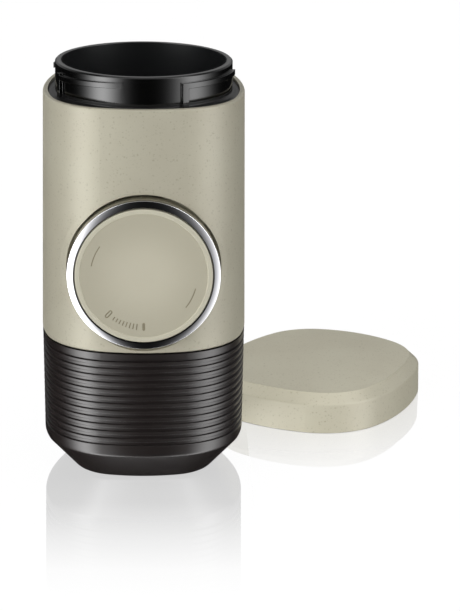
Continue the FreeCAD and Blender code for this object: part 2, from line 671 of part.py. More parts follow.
def pump_cylinder():
    outer = BORE_RADIUS + CYLINDER_WALL
    flange = bar(PUMP_FLANGE_RADIUS, WELL_BACK_Y, WELL_BACK_Y + PUMP_FLANGE)
    body = joined(
        bar(outer, WELL_BACK_Y, CYLINDER_END_Y),
        flange.cut(disc(FAR, CHAMBER_BASE, CHAMBER_BASE + FAR)),
        disc(PORT_BOSS_RADIUS, KNOB_Z, CHAMBER_BASE, 0, PORT_Y),
    )
    cutters = [
        bar(BORE_RADIUS, WELL_BACK_Y, CYLINDER_END_Y - CYLINDER_CAP),
        disc(PORT_RADIUS, KNOB_Z - outer, CHAMBER_BASE, 0, PORT_Y),
        disc(PORT_RADIUS + PORT_SEAL_WALL, PORT_SEAL_BASE, CHAMBER_BASE, 0, PORT_Y),
    ]
    back = WELL_BACK_Y + PUMP_FLANGE
    cutters += [bar(SCREW_RADIUS, WELL_BACK_Y, back, x, z) for x, z in pump_screw_places()]
    return body.cut(cutters)


def port_seal():
    return ring(PORT_RADIUS + PORT_SEAL_WALL, PORT_RADIUS, PORT_SEAL_BASE, CHAMBER_BASE, 0, PORT_Y)


def pump_screws():
    screws = []
    for x, z in pump_screw_places():
        head = bar(SCREW_HEAD_RADIUS, WELL_FLOOR_Y - SCREW_HEAD_HEIGHT, WELL_FLOOR_Y, x, z)
        shaft = bar(SCREW_RADIUS, WELL_FLOOR_Y, WELL_FLOOR_Y + PUMP_SCREW_LENGTH, x, z)
        screws.append(joined(head, shaft))
    return Part.makeCompound(screws)


def rod_bush():
    return pipe(BORE_RADIUS, ROD_RADIUS + ROD_CLEARANCE, WELL_BACK_Y, WELL_BACK_Y + BUSH_LENGTH)


def return_spring():
    """Half turns, each a piece of a torus, tilted so that they meet end to end."""
    start = PISTON_BACK_Y + SPRING_WIRE_RADIUS
    end = CYLINDER_END_Y - CYLINDER_CAP - SPRING_WIRE_RADIUS
    rise = (end - start) / (2 * SPRING_TURNS)
    radius = math.hypot(SPRING_RADIUS, rise / 2)
    tilt = math.degrees(math.atan2(rise / 2, SPRING_RADIUS))
    wire = Part.Face(Part.Wire(Part.makeCircle(SPRING_WIRE_RADIUS, Vector(radius, 0, 0), BACK)))
    halves = []
    for k in range(2 * SPRING_TURNS):
        half = wire.revolve(ORIGIN, UP, 180)
        half.rotate(ORIGIN, BACK, tilt)
        half.rotate(ORIGIN, UP, 180 * k)
        half.translate(Vector(0, 0, rise * (k + 0.5)))
        halves.append(half)
    coil = joined(*halves)
    coil.rotate(ORIGIN, Vector(1, 0, 0), -90)
    coil.translate(Vector(0, start, KNOB_Z))
    return coil


# ================================================================ piston
SEAL_GROOVE_Y = PISTON_FRONT_Y + (PISTON_LENGTH - PISTON_SEAL_WIDTH) / 2
HUB_FRONT_Y = KNOB_FACE_Y + DISC_THICKNESS
JOURNAL_END_Y = HUB_FRONT_Y + KNOB_SCREW_CLEARANCE + KNOB_SCREW_HEAD_HEIGHT


def piston_rod():
    rod = joined(
        bar(ROD_RADIUS, ROD_SHOULDER_Y, PISTON_FRONT_Y),
        bar(JOURNAL_RADIUS, JOURNAL_END_Y, ROD_SHOULDER_Y),
    )
    return rod.cut(bar(KNOB_SCREW_RADIUS, JOURNAL_END_Y, JOURNAL_END_Y + KNOB_SCREW_LENGTH))


def piston_head():
    radius = BORE_RADIUS - PISTON_CLEARANCE
    body = bar(radius, PISTON_FRONT_Y, PISTON_BACK_Y)
    groove = pipe(radius, radius - PISTON_SEAL_DEPTH, SEAL_GROOVE_Y, SEAL_GROOVE_Y + PISTON_SEAL_WIDTH)
    return body.cut(groove)


def piston_seal():
    inner = BORE_RADIUS - PISTON_CLEARANCE - PISTON_SEAL_DEPTH
    outer = BORE_RADIUS - PISTON_SEAL_CLEARANCE
    return pipe(outer, inner, SEAL_GROOVE_Y, SEAL_GROOVE_Y + PISTON_SEAL_WIDTH)


def knob_screw():
    head = bar(KNOB_SCREW_HEAD, JOURNAL_END_Y - KNOB_SCREW_HEAD_HEIGHT, JOURNAL_END_Y)
    return joined(head, bar(KNOB_SCREW_RADIUS, JOURNAL_END_Y, JOURNAL_END_Y + KNOB_SCREW_LENGTH))


# ================================================================ knob
def knob_hub():
    inside = HUB_SKIRT_RADIUS - HUB_SKIRT
    skirt = pipe(HUB_SKIRT_RADIUS, inside, HUB_FRONT_Y, HUB_BACK_Y)
    front = pipe(HUB_RADIUS, inside, HUB_FRONT_Y, HUB_FRONT_Y + HUB_STEP)
    plate = bar(HUB_RADIUS, HUB_FRONT_Y, HUB_FRONT_Y + HUB_PLATE)
    boss = bar(HUB_BOSS_RADIUS, HUB_FRONT_Y, ROD_SHOULDER_Y - RING_CLEARANCE)
    reach = HUB_SKIRT_RADIUS + KNOB_LUG_REACH
    root = HUB_SKIRT_RADIUS - ROOT
    lug = knob_block(reach, root, KNOB_LUG_Y, KNOB_LUG_Y + KNOB_LUG_HEIGHT, 90, KNOB_LUG_ARC)
    body = joined(skirt, front, plate, boss, *around(lug, 2, BACK, Vector(0, 0, KNOB_Z)))
    return body.cut([
        bar(JOURNAL_RADIUS + JOURNAL_CLEARANCE, HUB_FRONT_Y, ROD_SHOULDER_Y),
        bar(KNOB_SCREW_HEAD + KNOB_SCREW_CLEARANCE, HUB_FRONT_Y, JOURNAL_END_Y),
    ])


def knob_ring():
    lip = DISC_RADIUS + RING_LIP_GAP
    return turned_y([
        (HUB_RADIUS, KNOB_RIM_Y + KNOB_RING_DEPTH),
        (KNOB_RIM_RADIUS, KNOB_RIM_Y + KNOB_RING_DEPTH),
        (KNOB_RIM_RADIUS, KNOB_RIM_Y),
        (lip, KNOB_RING_FACE_Y),
        (lip, HUB_FRONT_Y),
        (HUB_RADIUS, HUB_FRONT_Y),
    ])


def knob_disc():
    face = DISC_RADIUS - DISC_RIM_WIDTH
    body = bar(DISC_RADIUS, KNOB_FACE_Y, HUB_FRONT_Y)
    return body.cut(bar(face, KNOB_FACE_Y, KNOB_FACE_Y + DISC_DISH))


# ================================================================ neck
CHAMBER_FLOOR = CHAMBER_BASE + CHAMBER_FLOOR_WALL
STEP_FLOOR = NECK_STEP_Z + NECK_STEP


def rib_arm(centre, arc, ramp):
    top = NECK_TOP - RIB_ARM_DROP
    low = top - RIB_ARM_HEIGHT
    arm = block(NECK_RADIUS + RIB_STANDOUT, NECK_RADIUS - ROOT, low, top, centre, arc)
    middle = Vector(0, 0, (low + top) / 2)
    a = math.radians(centre)
    arm.rotate(middle, Vector(math.cos(a), math.sin(a), 0), ramp)
    return arm


def rib_bar(centre):
    wide = math.degrees(RIB_BAR_WIDTH / NECK_RADIUS)
    top = NECK_TOP - RIB_ARM_DROP
    return block(NECK_RADIUS + RIB_STANDOUT, NECK_RADIUS - ROOT, GUTTER_TOP - ROOT, top, centre, wide)


def neck_collar():
    bore = CHAMBER_RADIUS - CHAMBER_WALL
    tube = turned([
        (0, CHAMBER_BASE),
        (CHAMBER_RADIUS, CHAMBER_BASE),
        (CHAMBER_RADIUS, NECK_STEP_Z),
        (NECK_RADIUS, NECK_STEP_Z),
        (NECK_RADIUS, NECK_TOP - NECK_CHAMFER),
        (NECK_RADIUS - NECK_CHAMFER, NECK_TOP),
        (NECK_BORE, NECK_TOP),
        (NECK_BORE, STEP_FLOOR),
        (bore, STEP_FLOOR),
        (bore, CHAMBER_FLOOR),
        (0, CHAMBER_FLOOR),
    ])
    top_share = (GUTTER_TOP - SHELL_BOTTOM) / (SHELL_TOP - SHELL_BOTTOM)
    wall = SHELL_WALL + (SHELL_DRAFT + LIP_WALL - SHELL_WALL) * top_share + PLATE_CLEARANCE
    under = GUTTER_TOP - GUTTER_THICKNESS
    gutter = prism(wall, under - GUTTER_SKIRT, GUTTER_TOP)
    gutter = gutter.cut(prism(wall + GUTTER_THICKNESS, under - GUTTER_SKIRT, under))
    root = NECK_RADIUS - ROOT
    gutter = gutter.cut(disc(root, under - GUTTER_SKIRT, GUTTER_TOP))
    rise = turned([
        (root, GUTTER_TOP - ROOT),
        (NECK_RADIUS + 2 * GUTTER_RISE, GUTTER_TOP - ROOT),
        (NECK_RADIUS + 2 * GUTTER_RISE, GUTTER_TOP),
        (NECK_RADIUS, GUTTER_TOP + GUTTER_RISE),
        (root, GUTTER_TOP + GUTTER_RISE),
    ])
    ear_top = NECK_STEP_Z + EAR_THICKNESS
    room = prism(SHELL_WALL + SHELL_DRAFT, NECK_STEP_Z, ear_top)
    ears = [disc(EAR_RADIUS, NECK_STEP_Z, ear_top, x, y).common(room) for x, y in post_places()]
    ribs = [rib_bar(a) for a in RIB_BARS] + [rib_arm(*arm) for arm in RIB_ARMS]
    ribs += [around(r, 2)[1] for r in ribs]
    body = joined(tube, gutter, rise, *ears, *ribs)
    cutters = [disc(SCREW_RADIUS, NECK_STEP_Z, ear_top, x, y) for x, y in post_places()]
    cutters.append(disc(PORT_RADIUS, CHAMBER_BASE, CHAMBER_FLOOR, 0, PORT_Y))
    return body.cut(cutters)


def neck_screws():
    return Part.makeCompound([screw(NECK_STEP_Z + EAR_THICKNESS, x, y, True) for x, y in post_places()])


# ================================================================ capsule chamber
HOOK_TOP = SLEEVE_TOP + HOOK_HEIGHT
TIP_HOLE = CAPSULE_TIP_RADIUS - TIP_LEDGE


def needle_plate():
    top = CHAMBER_FLOOR + NEEDLE_PLATE_THICKNESS
    plate = disc(NEEDLE_PLATE_RADIUS, CHAMBER_FLOOR, top)
    needle = Part.makeCone(NEEDLE_RADIUS, NEEDLE_TIP_RADIUS, NEEDLE_HEIGHT, Vector(NEEDLE_CIRCLE, 0, top))
    hole = disc(NEEDLE_HOLE, CHAMBER_FLOOR, top, NEEDLE_HOLE_CIRCLE, 0)
    pocket = disc(PORT_RADIUS, CHAMBER_FLOOR, top - NEEDLE_PLATE_THICKNESS / 2, 0, PORT_Y)
    body = joined(plate, *around(needle, NEEDLE_COUNT))
    return body.cut(around(hole, NEEDLE_COUNT) + [pocket])


def chamber_sleeve():
    waist = SLEEVE_BORE + SLEEVE_WALL
    body = turned([
        (SLEEVE_BORE, STEP_FLOOR),
        (SLEEVE_OUTER, STEP_FLOOR),
        (SLEEVE_OUTER, STEP_FLOOR + SLEEVE_BAND),
        (waist, STEP_FLOOR + SLEEVE_BAND),
        (waist, SLEEVE_TOP - SLEEVE_BAND),
        (SLEEVE_OUTER, SLEEVE_TOP - SLEEVE_BAND),
        (SLEEVE_OUTER, SLEEVE_TOP),
        (SLEEVE_BORE, SLEEVE_TOP),
    ])
    inner = SLEEVE_OUTER - HOOK_WALL
    wall = block(SLEEVE_OUTER, inner, SLEEVE_TOP - ROOT, HOOK_TOP, HOOK_CENTRE, HOOK_ARC)
    lip = block(SLEEVE_OUTER, inner - HOOK_REACH, HOOK_TOP - HOOK_LIP, HOOK_TOP, HOOK_CENTRE, HOOK_ARC)
    return joined(body, *around(wall, LUG_COUNT), *around(lip, LUG_COUNT))


def capsule_holder():
    seat = HOLDER_TOP - CAPSULE_FLANGE_DEPTH
    tip = HOLDER_BOTTOM + HOLDER_BAND_BOTTOM
    return turned([
        (TIP_HOLE, HOLDER_BOTTOM),
        (HOLDER_FOOT_RADIUS, HOLDER_BOTTOM),
        (HOLDER_FOOT_RADIUS, tip),
        (HOLDER_WAIST, tip),
        (HOLDER_WAIST, HOLDER_TOP - HOLDER_BAND_TOP),
        (HOLDER_RADIUS, HOLDER_TOP - HOLDER_BAND_TOP),
        (HOLDER_RADIUS, HOLDER_TOP),
        (CAPSULE_FLANGE_RADIUS, HOLDER_TOP),
        (CAPSULE_FLANGE_RADIUS, seat),
        (CAPSULE_MOUTH_RADIUS, seat),
        (CAPSULE_TIP_RADIUS, tip),
        (TIP_HOLE, tip),
    ])


def tip_seal():
    return ring(TIP_HOLE, TIP_HOLE - TIP_SEAL_WALL, HOLDER_BOTTOM, HOLDER_BOTTOM + TIP_SEAL_HEIGHT)


# ================================================================ outlet head
CORE_BASE = HOLDER_TOP + GASKET_HEIGHT
CORE_RIM = CORE_BASE + CORE_THICKNESS
CORE_TOP = CORE_RIM + CORE_BOSS_HEIGHT


def outlet_gasket():
    return ring(GASKET_OUTER, GASKET_INNER, HOLDER_TOP, CORE_BASE)


def pierce_plate():
    low = CORE_BASE - PIERCE_THICKNESS
    plate = disc(PIERCE_RADIUS, low, CORE_BASE)
    places = hole_places(PIERCE_PITCH, PIERCE_ROWS)
    return plate.cut([disc(PIERCE_HOLE, low, CORE_BASE, x, y) for x, y in places])


def outlet_core():
    body = joined(
        disc(CORE_RADIUS, CORE_BASE, CORE_RIM),
        disc(CORE_BOSS_RADIUS, CORE_BASE, CORE_TOP),
        disc(SPOUT_RADIUS, CORE_BASE, CORE_TOP + SPOUT_HEIGHT),
    )
    plate = Part.makeBox(RIB_PLATE_LENGTH, RIB_PLATE_THICKNESS, RIB_PLATE_HEIGHT)
    plate.translate(Vector(0, -RIB_PLATE_THICKNESS / 2, CORE_TOP))
    plate.rotate(ORIGIN, UP, 180.0 / RIB_PLATE_COUNT)
    body = joined(body, *around(plate, RIB_PLATE_COUNT))
    return body.cut(disc(SPOUT_BORE, CORE_BASE, CORE_TOP + SPOUT_HEIGHT))


def lock_ring():
    inner = CORE_RADIUS + RING_CLEARANCE
    skirt = inner + RING_SKIRT_WALL
    low = CORE_RIM - RING_SKIRT_DROP
    top = CORE_RIM + RING_TOP
    grip_base = HOOK_TOP + RING_CLEARANCE
    body = turned([
        (inner, low),
        (skirt, low),
        (skirt, grip_base),
        (RING_GRIP_RADIUS, grip_base),
        (RING_GRIP_RADIUS, top),
        (inner - RING_OVERLAP, top),
        (inner - RING_OVERLAP, CORE_RIM),
        (inner, CORE_RIM),
    ])
    lug_top = low + RING_LUG_HEIGHT
    lug = block(skirt + RING_LUG_REACH, skirt - ROOT, low, lug_top, RING_LUG_ANGLE, RING_LUG_ARC)
    body = joined(body, *around(lug, LUG_COUNT))
    notch = disc(RING_NOTCH_RADIUS, grip_base, top, RING_NOTCH_CIRCLE, 0)
    return body.cut(around(notch, RING_NOTCH_COUNT))


# ================================================================ lid
def lid_place(shape):
    shape = shape.copy()
    shape.rotate(ORIGIN, UP, LID_TURN)
    shape.translate(Vector(LID_X, LID_Y, 0))
    return shape


def lid_shell():
    bevel_top = LID_SIDE_HEIGHT + LID_BEVEL_HEIGHT
    foot = -LID_GROWTH
    top_inset = foot + LID_SIDE_DRAFT + LID_BEVEL_INSET
    outer = stack([(foot, 0), (foot + LID_SIDE_DRAFT, LID_SIDE_HEIGHT), (top_inset, bevel_top)])
    outer = outer.makeFillet(LID_EDGE_ROUND, level_edges(outer, LID_SIDE_HEIGHT))
    outer = outer.makeFillet(LID_FOOT_ROUND, level_edges(outer, 0))
    reach = LID_CROWN_REACH * (BODY_HALF - top_inset)
    radius = (reach ** 2 + LID_CROWN ** 2) / (2 * LID_CROWN)
    dome = Part.makeSphere(radius, Vector(0, 0, bevel_top + LID_CROWN - radius))
    longer = (BODY_HALF + BACK_DEPTH) / 2
    middle = BACK_DEPTH - longer
    longer = (longer - top_inset) / (BODY_HALF - top_inset)
    dome = dome.transformGeometry(Matrix(1, 0, 0, 0, 0, longer, 0, middle, 0, 0, 1, 0, 0, 0, 0, 1))
    crown = dome.common(prism(top_inset, bevel_top - ROOT, bevel_top + LID_CROWN + ROOT))
    outer = joined(outer, crown)
    inner = stack([(foot + LID_WALL, 0), (foot + LID_SIDE_DRAFT + LID_WALL, LID_CEILING)])
    return lid_place(outer.cut(inner))


def lid_liner():
    outer = LID_LINER_RADIUS + LID_LINER_WALL
    tube = ring(outer, LID_LINER_RADIUS, LID_LINER_BASE, LID_LINER_TOP)
    reach = LID_LINER_RADIUS - LID_LUG_REACH
    lug = block(outer - ROOT, reach, LID_LUG_Z, LID_LUG_Z + LID_LUG_HEIGHT, LID_LUG_ANGLE, LID_LUG_ARC)
    web = prism(-LID_GROWTH + LID_SIDE_DRAFT + LID_WALL + PLATE_CLEARANCE, LID_LINER_TOP, LID_CEILING)
    web = web.cut(disc(LID_SEAL_OUTER, LID_LINER_TOP, LID_CEILING))
    return lid_place(joined(tube, web, *around(lug, LID_LUG_COUNT)))


def lid_seal():
    return lid_place(ring(LID_SEAL_OUTER, LID_SEAL_INNER, LID_CEILING - LID_SEAL_HEIGHT, LID_CEILING))


# ================================================================ all nodes
NODES = {
    "tank_shell": tank_shell,
    "tank_liner": tank_liner,
    "tank_collar": tank_collar,
    "foot_pad": foot_pad,
    "tank_seal": tank_seal,
    "coupling_plate": coupling_plate,
    "coupling_screws": coupling_screws,
    "vent_tube": vent_tube,
    "inlet_strainer": inlet_strainer,
    "inlet_block": inlet_block,
    "inlet_seat": inlet_seat,
    "inlet_ball": inlet_ball,
    "body_shell": body_shell,
    "pump_cylinder": pump_cylinder,
    "port_seal": port_seal,
    "pump_screws": pump_screws,
    "rod_bush": rod_bush,
    "return_spring": return_spring,
    "piston_rod": piston_rod,
    "piston_head": piston_head,
    "piston_seal": piston_seal,
    "knob_screw": knob_screw,
    "knob_hub": knob_hub,
    "knob_ring": knob_ring,
    "knob_disc": knob_disc,
    "neck_collar": neck_collar,
    "neck_screws": neck_screws,
    "needle_plate": needle_plate,
    "chamber_sleeve": chamber_sleeve,
    "capsule_holder": capsule_holder,
    "tip_seal": tip_seal,
    "outlet_gasket": outlet_gasket,
    "pierce_plate": pierce_plate,
    "outlet_core": outlet_core,
    "lock_ring": lock_ring,
    "lid_shell": lid_shell,
    "lid_liner": lid_liner,
    "lid_seal": lid_seal,
}

os.makedirs("parts", exist_ok=True)
for node, make in NODES.items():
    shape = make()
    print(node, len(shape.Solids), round(shape.Volume, 1), "valid" if shape.isValid() else "NOT VALID")
    shape.exportStep(os.path.join("parts", node + ".step"))
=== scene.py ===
"""Looks of the handheld espresso maker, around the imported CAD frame. Metres, +Z up, the knob faces -Y."""
import json
import math

import bpy
from mathutils import Matrix, Vector


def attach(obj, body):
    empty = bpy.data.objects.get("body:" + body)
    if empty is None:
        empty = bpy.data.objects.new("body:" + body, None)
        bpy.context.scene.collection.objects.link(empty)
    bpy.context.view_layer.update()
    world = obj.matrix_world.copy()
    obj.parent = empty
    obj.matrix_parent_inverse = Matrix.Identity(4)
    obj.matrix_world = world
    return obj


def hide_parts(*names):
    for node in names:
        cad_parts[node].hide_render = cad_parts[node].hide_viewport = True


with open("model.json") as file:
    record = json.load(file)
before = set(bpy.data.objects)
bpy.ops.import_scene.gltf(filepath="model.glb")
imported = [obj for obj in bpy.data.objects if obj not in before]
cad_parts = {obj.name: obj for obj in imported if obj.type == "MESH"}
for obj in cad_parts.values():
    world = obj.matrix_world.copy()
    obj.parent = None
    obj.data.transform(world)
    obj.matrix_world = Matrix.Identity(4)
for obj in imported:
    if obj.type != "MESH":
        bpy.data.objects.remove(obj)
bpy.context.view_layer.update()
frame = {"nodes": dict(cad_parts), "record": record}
NODES = frame["nodes"]
MM = 0.001

# ------------------------------------------------------------------ camera
IMAGE_HEIGHT = 611                  # pixels
FOCAL = 2638.5                      # pixels
SENSOR = 36.0                       # along the picture's height
CAMERA_AT = Vector((0.0, -0.800, 0.2983))
YAW, PITCH, ROLL = 0.0342, 0.3008, 0.0107


def make_camera():
    data = bpy.data.cameras.new("camera")
    data.sensor_width = SENSOR
    data.lens = FOCAL * SENSOR / IMAGE_HEIGHT
    data.clip_start, data.clip_end = 0.01, 20.0
    level = math.cos(PITCH)
    ahead = Vector((math.sin(YAW) * level, math.cos(YAW) * level, -math.sin(PITCH)))
    right = Vector((math.cos(YAW), -math.sin(YAW), 0))
    up = right.cross(ahead)
    across = right * math.cos(ROLL) + up * math.sin(ROLL)
    above = -right * math.sin(ROLL) + up * math.cos(ROLL)
    turn = Matrix((across, above, -ahead)).transposed()
    camera = bpy.data.objects.new("camera", data)
    camera.matrix_world = Matrix.Translation(CAMERA_AT) @ turn.to_4x4()
    bpy.context.scene.collection.objects.link(camera)
    bpy.context.scene.camera = camera


make_camera()


# ------------------------------------------------------------------ shader helpers
class Shader:
    """A material's or the world's node tree, with short calls to fill it."""

    def __init__(self, block):
        block.use_nodes = True
        self.tree = block.node_tree
        self.tree.nodes.clear()

    def add(self, kind, settings=None, **sockets):
        node = self.tree.nodes.new("ShaderNode" + kind)
        for name, value in (settings or {}).items():
            setattr(node, name, value)
        for name, value in sockets.items():
            self.put(node.inputs[name.replace("_", " ")], value)
        return node

    def put(self, socket, value):
        """Links an output to the socket, or sets its constant."""
        if isinstance(value, bpy.types.NodeSocket):
            self.tree.links.new(value, socket)
        else:
            socket.default_value = value

    def output(self, kind, shader):
        self.put(self.add(kind).inputs[0], shader.outputs[0])

    def place(self):
        """Object coordinates: where the point is at rest, in the row frame."""
        return self.add("TexCoord").outputs["Object"]

    def place_xyz(self):
        return self.add("SeparateXYZ", Vector=self.place()).outputs

    def noise(self, scale, detail=2.0):
        return self.add("TexNoise", Vector=self.place(), Scale=scale, Detail=detail).outputs["Fac"]

    def math(self, kind, *values):
        node = self.add("Math", {"operation": kind})
        for socket, value in zip(node.inputs, values):
            self.put(socket, value)
        return node.outputs[0]

    def length(self, a, b):
        squares = self.math("ADD", self.math("MULTIPLY", a, a), self.math("MULTIPLY", b, b))
        return self.math("SQRT", squares)

    def share(self, value, start, span):
        """How far the value is along a span, as a share of it."""
        return self.math("DIVIDE", self.math("SUBTRACT", value, start), span)

    def curve(self, value, points, kind="EASE"):
        """A grey ramp through (place, level) points."""
        node = self.add("ValToRGB", Fac=value)
        ramp = node.color_ramp
        ramp.interpolation = kind
        while len(ramp.elements) < len(points):
            ramp.elements.new(0.5)
        for element, (place, level) in zip(ramp.elements, points):
            element.position = place
            element.color = (level, level, level, 1)
        return node.outputs[0]

    def mix(self, amount, a, b):
        """A mix of two colours."""
        node = self.add("Mix", {"data_type": "RGBA"})
        for socket, value in zip((node.inputs[0], node.inputs[6], node.inputs[7]), (amount, a, b)):
            self.put(socket, value)
        return node.outputs[2]

    def blend(self, amount, a, b):
        """A mix of two shaders."""
        node = self.add("MixShader", Fac=amount)
        self.put(node.inputs[1], a.outputs[0])
        self.put(node.inputs[2], b.outputs[0])
        return node


def linear(c):
    return ((c / 255 + 0.055) / 1.055) ** 2.4 if c > 10 else c / 255 / 12.92


def rgb(r, g, b):
    """A colour from its 0-255 screen values."""
    return (linear(r), linear(g), linear(b), 1.0)


def grey(level):
    return (level, level, level, 1)


# ------------------------------------------------------------------ materials
WHITE = grey(1)
BEIGE = rgb(184, 180, 161)
BEIGE_DARK = rgb(179, 174, 155)
NEAR_BLACK = rgb(6, 6, 6)
PATCHES = [(0.3, 0), (0.7, 1)]      # turns noise into broad soft patches
SKIN_GRAIN = 2200
SKIN_DEPTH = 0.00005
MATERIALS = {}


def surface(name, **principled):
    """A new material and its Principled shader."""
    made = bpy.data.materials.new(name)
    s = Shader(made)
    body = s.add("BsdfPrincipled", **principled)
    s.output("OutputMaterial", body)
    MATERIALS[name] = made
    return s, body


def bumped(s, body, height, strength, distance=SKIN_DEPTH):
    bump = s.add("Bump", Height=height, Strength=strength, Distance=distance)
    s.put(body.inputs["Normal"], bump.outputs[0])


def plain(name, colour, rough, depth=0.08, spread=0.12, **principled):
    """A moulded or turned surface with a little unevenness in its tone, gloss and skin."""
    s, body = surface(name, **principled)
    dark = tuple(c * (1 - spread) for c in colour[:3]) + (1.0,)
    s.put(body.inputs["Base Color"], s.mix(s.curve(s.noise(90, 3), PATCHES), colour, dark))
    s.put(body.inputs["Roughness"], s.math("MULTIPLY_ADD", s.noise(240, 3), rough * 0.25, rough * 0.875))
    bumped(s, body, s.noise(SKIN_GRAIN), depth)
    return s, body


FIBRE = rgb(118, 106, 86)
FIBRE_BEND = 0.0006                 # pulls the cells out of their round shape
# layers of fibres: cells per metre, size, share of the cells that hold one, strength
FIBRE_LAYERS = ((1000, 0.40, 0.38, 0.26), (1600, 0.42, 0.34, 0.20))


def fibres(s, colour, place, scale, size, share, strength):
    """Adds one layer of dark fibres, each of its own size, to a colour."""
    cells = s.add("TexVoronoi", Vector=place, Scale=scale).outputs
    chance = s.add("SeparateColor", Color=cells["Color"]).outputs
    chosen = s.math("LESS_THAN", chance[0], share)
    reach = s.math("MULTIPLY_ADD", chance[1], size * 0.6, size * 0.5)
    near = s.math("SUBTRACT", 1.0, s.math("DIVIDE", cells["Distance"], reach))
    near = s.math("MINIMUM", s.math("MAXIMUM", s.math("MULTIPLY", near, 2.0), 0.0), 1.0)
    amount = s.math("MULTIPLY", s.math("MULTIPLY", chosen, near), strength)
    return s.mix(amount, colour, FIBRE)


def shell_look():
    """Beige plastic with fine dark fibres in it."""
    s, body = surface("beige_plastic", Roughness=0.42)
    colour = s.mix(s.curve(s.noise(45, 3), PATCHES), BEIGE, BEIGE_DARK)
    place = s.place()
    drift = s.add("TexNoise", Vector=place, Scale=1400.0, Detail=1.0).outputs["Color"]
    bend = s.add("VectorMath", {"operation": "MULTIPLY_ADD"})
    for socket, value in zip(bend.inputs, (drift, (FIBRE_BEND,) * 3, place)):
        s.put(socket, value)
    for layer in FIBRE_LAYERS:
        colour = fibres(s, colour, bend.outputs[0], *layer)
    s.put(body.inputs["Base Color"], colour)
    grain = s.math("ADD", s.noise(2600), s.math("MULTIPLY", s.noise(900), 0.6))
    bumped(s, body, grain, 0.06)


BORE_EDGE = 0.0258                  # from the neck's axis: inside it is the bore, outside it the rim
GUTTER_TOP = 0.1213                 # the gutter round the neck lies below this
NECK_ROUGH, BORE_ROUGHER, GUTTER_ROUGHER = 0.12, 0.19, 0.25
NECK_EDGE = 0.0003                  # radius that its sharp edges seem to have


def neck_look():
    """Polished outside, finely matt inside the bore and in the gutter; the bore painted a lighter grey as a
    painted sheen.
    """
    s, body = plain("neck_plastic", NEAR_BLACK, 0.10, depth=0.0, Specular_IOR_Level=0.45)
    x, y, z = s.place_xyz()
    inside = s.math("LESS_THAN", s.length(x, y), BORE_EDGE)
    gutter = s.math("MULTIPLY", s.math("LESS_THAN", z, GUTTER_TOP), s.math("SUBTRACT", 1.0, inside))
    rough = s.math("MULTIPLY_ADD", inside, BORE_ROUGHER, NECK_ROUGH)
    s.put(body.inputs["Roughness"], s.math("MULTIPLY_ADD", gutter, GUTTER_ROUGHER, rough))
    s.put(body.inputs["Normal"], s.add("Bevel", {"samples": 8}, Radius=NECK_EDGE).outputs[0])
    # painted sheen: the bore is coloured a lighter grey, standing in for the reflections seen inside it
    s.put(body.inputs["Base Color"], s.mix(inside, NEAR_BLACK, rgb(20, 21, 22)))


# the knob, about its axis; millimetres, except for the axis
KNOB_AXIS = 70.0 * MM               # its height
DISC_FRONT, DISC_BACK = -34.9, -33.6
DISC_RADIUS = 20.94
DISH_RADIUS, DISH_DEPTH = 19.4, 0.28
MARK_DEPTH = 0.16                   # cut into the dish
RING_INNER = 21.34


def about_knob(s):
    """Distance from the knob's axis, and the place along it, in object coordinates."""
    x, y, z = s.place_xyz()
    return s.length(x, s.math("SUBTRACT", z, KNOB_AXIS)), y


def face_look():
    """The knob's face: a satin dish in a lighter rim, the dish darkened towards its edge as painted shade,
    and its marks toned darker.
    """
    s, body = surface("knob_face", Roughness=0.45)
    radius, depth = about_knob(s)
    rim, dish, edge_shade_and_mottle, mark = rgb(200, 196, 176), rgb(198, 193, 173), rgb(182, 177, 157), rgb(140, 132, 109)
    # painted shade: the dish's colour darkens from its middle towards its edge; the same darker colour also
    # gives the random mottle below
    dish_shade = s.curve(s.math("DIVIDE", radius, DISH_RADIUS * MM), [(0.2, 0), (0.95, 1)])
    colour = s.mix(dish_shade, dish, edge_shade_and_mottle)
    colour = s.mix(s.math("GREATER_THAN", radius, DISH_RADIUS * MM), colour, rim)
    below_dish = s.math("GREATER_THAN", depth, (DISC_FRONT + DISH_DEPTH + MARK_DEPTH / 4) * MM)
    in_dish = s.math("LESS_THAN", radius, (DISH_RADIUS - 0.4) * MM)
    colour = s.mix(s.math("MULTIPLY", below_dish, in_dish), colour, mark)
    colour = s.mix(s.math("MULTIPLY", s.noise(70, 3), 0.12), colour, edge_shade_and_mottle)
    s.put(body.inputs["Base Color"], colour)
    bumped(s, body, s.noise(3000), 0.05, 0.00004)


CHROME_ROUGH, SEAT_ROUGHER = 0.045, 0.4


def chrome_look():
    """Polished plating; the seat inside the ring's lip is painted black as painted shade in the gap round
    the face.
    """
    s, body = plain("chrome", rgb(186, 186, 189), CHROME_ROUGH, spread=0.02, depth=0.01, Metallic=1.0)
    plating = body.inputs["Base Color"].links[0].from_socket
    # painted shade: the plating inside the ring's lip is coloured black and rougher, for the dark gap round
    # the face
    seat_shade_mask = s.math("LESS_THAN", about_knob(s)[0], (RING_INNER + 0.08) * MM)
    s.put(body.inputs["Base Color"], s.mix(seat_shade_mask, plating, NEAR_BLACK))
    s.put(body.inputs["Roughness"], s.math("MULTIPLY_ADD", seat_shade_mask, SEAT_ROUGHER, CHROME_ROUGH))


shell_look()
neck_look()
face_look()
chrome_look()
plain("tank_plastic", rgb(28, 23, 22), 0.30, depth=0.12)
plain("liner_plastic", rgb(30, 30, 32), 0.15)
plain("inner_plastic", rgb(26, 26, 27), 0.30)
plain("acetal", rgb(226, 224, 214), 0.35)
plain("silicone", rgb(92, 92, 94), 0.55, depth=0.15)
plain("steel", rgb(196, 196, 199), 0.24, spread=0.06, Metallic=1.0)


def wear(obj, look):
    obj.data.materials.clear()
    obj.data.materials.append(MATERIALS[look])


for row in frame["record"]["subparts"]:
    wear(NODES[row["node"]], row["material_slot"])


